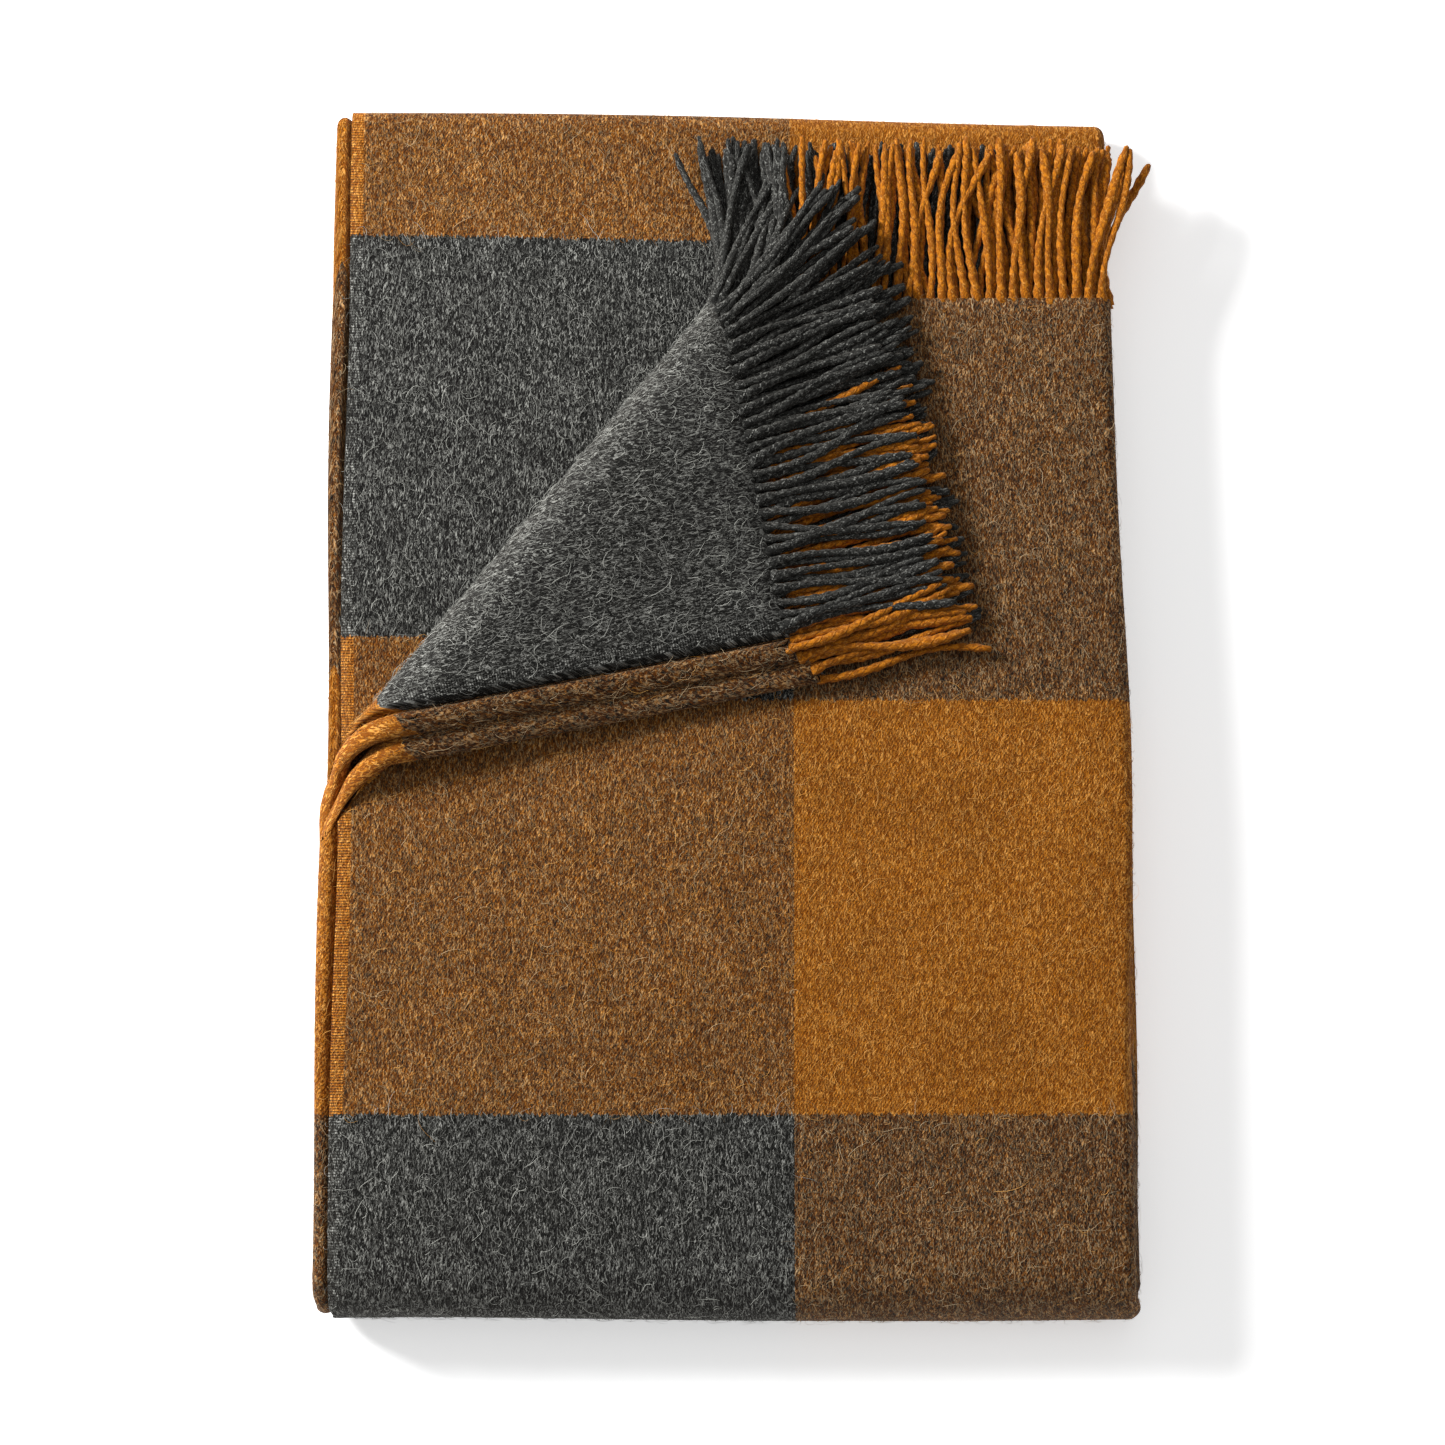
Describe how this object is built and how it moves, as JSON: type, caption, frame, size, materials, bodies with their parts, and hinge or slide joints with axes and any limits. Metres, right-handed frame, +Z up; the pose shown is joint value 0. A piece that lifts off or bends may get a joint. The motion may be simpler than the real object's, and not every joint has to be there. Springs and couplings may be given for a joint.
{
  "type": "folded throw blanket",
  "caption": "Check-woven wool throw with twisted fringes, folded in four each way, its upper corner turned back over a diagonal crease.",
  "frame": {"origin": "middle of the flat underside of the folded pack, on the surface it lies on", "axes": "+Z up, off the surface; +Y along the pack towards the fringes; +X to the right, seen from above with the fringes away from the viewer"},
  "size_m": [0.322, 0.4902, 0.053],
  "materials": {
    "cloth": "brushed wool twill in a large two-colour check",
    "fringe_mustard": "twisted mustard wool cord",
    "fringe_charcoal": "twisted charcoal wool cord"
  },
  "bodies": {
    "root": {"bottom_panel_ply_a": "cloth", "bottom_panel_ply_b": "cloth", "bottom_panel_ply_c": "cloth", "bottom_panel_ply_d": "cloth", "second_panel_ply_d": "cloth", "second_panel_ply_c": "cloth", "second_panel_ply_b": "cloth", "second_panel_ply_a": "cloth", "third_panel_ply_a": "cloth", "third_panel_ply_b": "cloth", "third_panel_ply_c": "cloth", "third_panel_ply_d": "cloth", "top_panel_ply_d": "cloth", "top_panel_ply_c": "cloth", "top_panel_ply_b": "cloth", "top_panel_ply_a": "cloth", "top_fold_ply_d": "cloth", "top_fold_ply_c": "cloth", "top_fold_ply_b": "cloth", "top_fold_ply_a": "cloth", "inner_fold_ply_a": "cloth", "inner_fold_ply_b": "cloth", "inner_fold_ply_c": "cloth", "inner_fold_ply_d": "cloth", "outer_fold_ply_d": "cloth", "outer_fold_ply_c": "cloth", "outer_fold_ply_b": "cloth", "outer_fold_ply_a": "cloth", "third_panel_fringe": "fringe_charcoal", "top_panel_fringe": "fringe_mustard"},
    "corner": {"corner_top_panel_ply_a": "cloth", "corner_top_panel_ply_b": "cloth", "corner_top_panel_ply_c": "cloth", "corner_top_panel_ply_d": "cloth", "corner_third_panel_ply_d": "cloth", "corner_third_panel_ply_c": "cloth", "corner_third_panel_ply_b": "cloth", "corner_third_panel_ply_a": "cloth", "corner_fringe_lower": "fringe_charcoal", "corner_fringe_upper": "fringe_charcoal"}
  },
  "joints": [
    {"name": "corner_turn", "type": "hinge", "parent": "root", "child": "corner", "pos_m": [-0.1398, -0.0125, 0.0353], "axis": [-0.6361, -0.7716, 0], "range_deg": [0, 180]}
  ]
}
